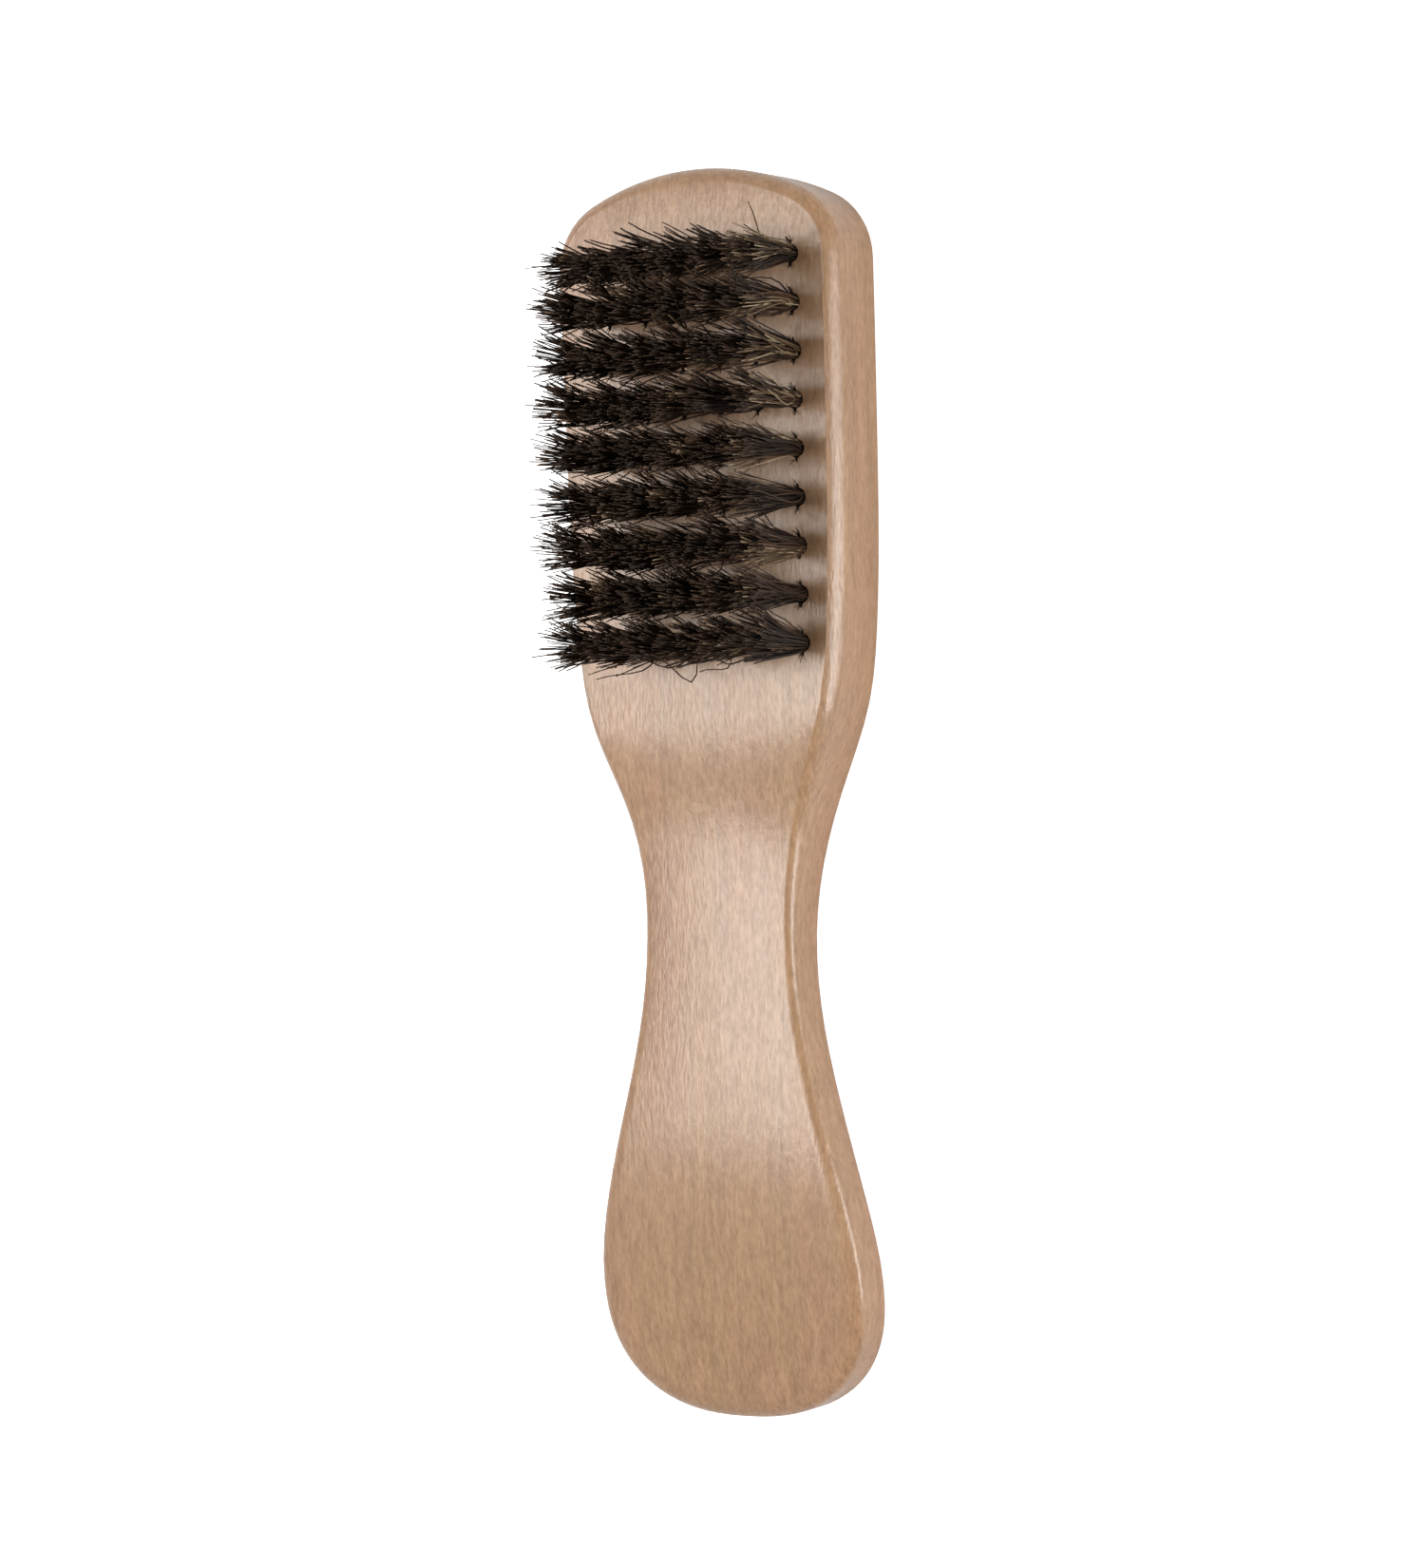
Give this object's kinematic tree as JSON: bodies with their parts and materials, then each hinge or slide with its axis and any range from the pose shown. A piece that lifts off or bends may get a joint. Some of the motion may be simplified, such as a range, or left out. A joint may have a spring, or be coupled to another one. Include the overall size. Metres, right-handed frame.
{
  "type": "beard brush",
  "caption": "Paddle-handled beard brush: a one-piece lacquered beech handle whose flat head is filled with rows of mixed dark bristle tufts.",
  "frame": {"origin": "on the plane of the head's flat back, below the middle of the whole brush's box", "axes": "+Y along the brush towards the head, +Z the way the bristles point, +X across the brush, to the right when the bristles face the viewer and the head is up"},
  "size_m": [0.0454, 0.175, 0.0299],
  "materials": {
    "beech": "satin clear lacquer over fine straight grain",
    "bristle": "mixed dark brown, brown and pale natural bristle"
  },
  "bodies": {
    "root": {"handle": "beech", "tuft_row1_col1": "bristle", "tuft_row1_col2": "bristle", "tuft_row1_col3": "bristle", "tuft_row1_col4": "bristle", "tuft_row1_col5": "bristle", "tuft_row1_col6": "bristle", "tuft_row2_col1": "bristle", "tuft_row2_col2": "bristle", "tuft_row2_col3": "bristle", "tuft_row2_col4": "bristle", "tuft_row2_col5": "bristle", "tuft_row2_col6": "bristle", "tuft_row3_col1": "bristle", "tuft_row3_col2": "bristle", "tuft_row3_col3": "bristle", "tuft_row3_col4": "bristle", "tuft_row3_col5": "bristle", "tuft_row3_col6": "bristle", "tuft_row4_col1": "bristle", "tuft_row4_col2": "bristle", "tuft_row4_col3": "bristle", "tuft_row4_col4": "bristle", "tuft_row4_col5": "bristle", "tuft_row4_col6": "bristle", "tuft_row5_col1": "bristle", "tuft_row5_col2": "bristle", "tuft_row5_col3": "bristle", "tuft_row5_col4": "bristle", "tuft_row5_col5": "bristle", "tuft_row5_col6": "bristle", "tuft_row6_col1": "bristle", "tuft_row6_col2": "bristle", "tuft_row6_col3": "bristle", "tuft_row6_col4": "bristle", "tuft_row6_col5": "bristle", "tuft_row6_col6": "bristle", "tuft_row7_col1": "bristle", "tuft_row7_col2": "bristle", "tuft_row7_col3": "bristle", "tuft_row7_col4": "bristle", "tuft_row7_col5": "bristle", "tuft_row7_col6": "bristle", "tuft_row8_col1": "bristle", "tuft_row8_col2": "bristle", "tuft_row8_col3": "bristle", "tuft_row8_col4": "bristle", "tuft_row8_col5": "bristle", "tuft_row8_col6": "bristle", "tuft_row9_col1": "bristle", "tuft_row9_col2": "bristle", "tuft_row9_col3": "bristle", "tuft_row9_col4": "bristle", "tuft_row9_col5": "bristle", "tuft_row9_col6": "bristle"}
  },
  "joints": []
}
